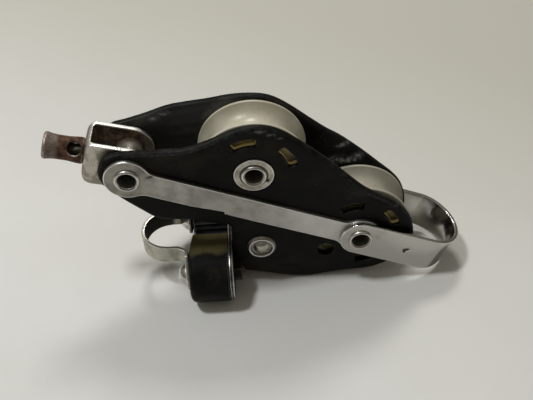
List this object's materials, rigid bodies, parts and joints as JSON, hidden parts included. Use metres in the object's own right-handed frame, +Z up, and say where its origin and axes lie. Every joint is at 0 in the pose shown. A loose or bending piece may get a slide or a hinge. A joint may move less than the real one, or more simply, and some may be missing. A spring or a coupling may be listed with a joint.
{
  "type": "fiddle block",
  "caption": "Sailing fiddle block: sheaves in line between black cheeks, a swivelling head post on a yoke, a becket bow and a cam cleat with its fairlead that grips the rope.",
  "frame": {"origin": "middle of the head axle, on the block's middle plane", "axes": "+Y along the axles, from the front cheek to the rear cheek; +Z up as the block rests on a table; +X from the head towards the becket"},
  "size_m": [0.1951, 0.0662, 0.0973],
  "materials": {
    "cheek_plastic": "weathered moulded nylon, dusty, edges rubbed grey",
    "cam_plastic": "dusty black plastic",
    "sheave_plastic": "ivory acetal, semi-gloss, dirty near the hub",
    "strap_steel": "dull stainless, fine scratches along the strap",
    "becket_steel": "polished stainless, bright at the bow",
    "axle_steel": "turned stainless, bright rims",
    "fitting_steel": "bright stainless",
    "yoke_steel": "dull stainless with brown dirt in the corners",
    "fairlead_steel": "dull stainless strip with bright edges",
    "rusty_steel": "brown rust over steel, bright worn tip rim"
  },
  "bodies": {
    "block": {"front_cheek": "cheek_plastic", "rear_cheek": "cheek_plastic", "front_strap": "strap_steel", "rear_strap": "strap_steel", "becket": "becket_steel", "head_axle": "axle_steel", "head_sheave_axle": "axle_steel", "tail_sheave_axle": "axle_steel", "head_sheave_bush": "axle_steel", "tail_sheave_bush": "axle_steel", "axle_washers": "axle_steel", "head_bush": "fitting_steel", "cleat_rivet": "fitting_steel", "rivet_cups": "fitting_steel", "cleat_spacer": "fitting_steel", "cleat_bracket": "yoke_steel", "cleat_plate": "fitting_steel", "cam_bushes": "fitting_steel", "cam_springs": "fitting_steel", "cleat_screws": "fitting_steel", "cleat_nuts": "fitting_steel", "fairlead": "fairlead_steel"},
    "head_sheave": {"head_sheave": "sheave_plastic"},
    "tail_sheave": {"tail_sheave": "sheave_plastic"},
    "yoke": {"head_yoke": "yoke_steel"},
    "swivel": {"swivel_post": "rusty_steel", "swivel_pin": "yoke_steel"},
    "near_cam": {"near_cam": "cam_plastic"},
    "far_cam": {"far_cam": "cam_plastic"}
  },
  "joints": [
    {"name": "yoke_swing", "type": "hinge", "parent": "block", "child": "yoke", "pos_m": [0, 0, 0], "axis": [0, 1, 0], "range_deg": [-73, 87]},
    {"name": "post_swivel", "type": "hinge", "parent": "yoke", "child": "swivel", "pos_m": [-0.02806, 0, 0.00826], "axis": [-0.9593, 0, 0.2823], "continuous": true},
    {"name": "head_sheave_spin", "type": "hinge", "parent": "block", "child": "head_sheave", "pos_m": [0.05554, 0, -0.00333], "axis": [0, 1, 0], "continuous": true},
    {"name": "tail_sheave_spin", "type": "hinge", "parent": "block", "child": "tail_sheave", "pos_m": [0.10453, 0, -0.04523], "axis": [0, 1, 0], "continuous": true},
    {"name": "near_cam_turn", "type": "hinge", "parent": "block", "child": "near_cam", "pos_m": [0.0313, -0.019, -0.0604], "axis": [1, 0, 0], "range_deg": [0, 45], "stiffness_Nm_per_rad": 0.05, "springref_deg": -28.65},
    {"name": "far_cam_turn", "type": "hinge", "parent": "block", "child": "far_cam", "pos_m": [0.0313, 0.019, -0.0604], "axis": [-1, 0, 0], "range_deg": [0, 45], "stiffness_Nm_per_rad": 0.05, "springref_deg": -28.65}
  ]
}
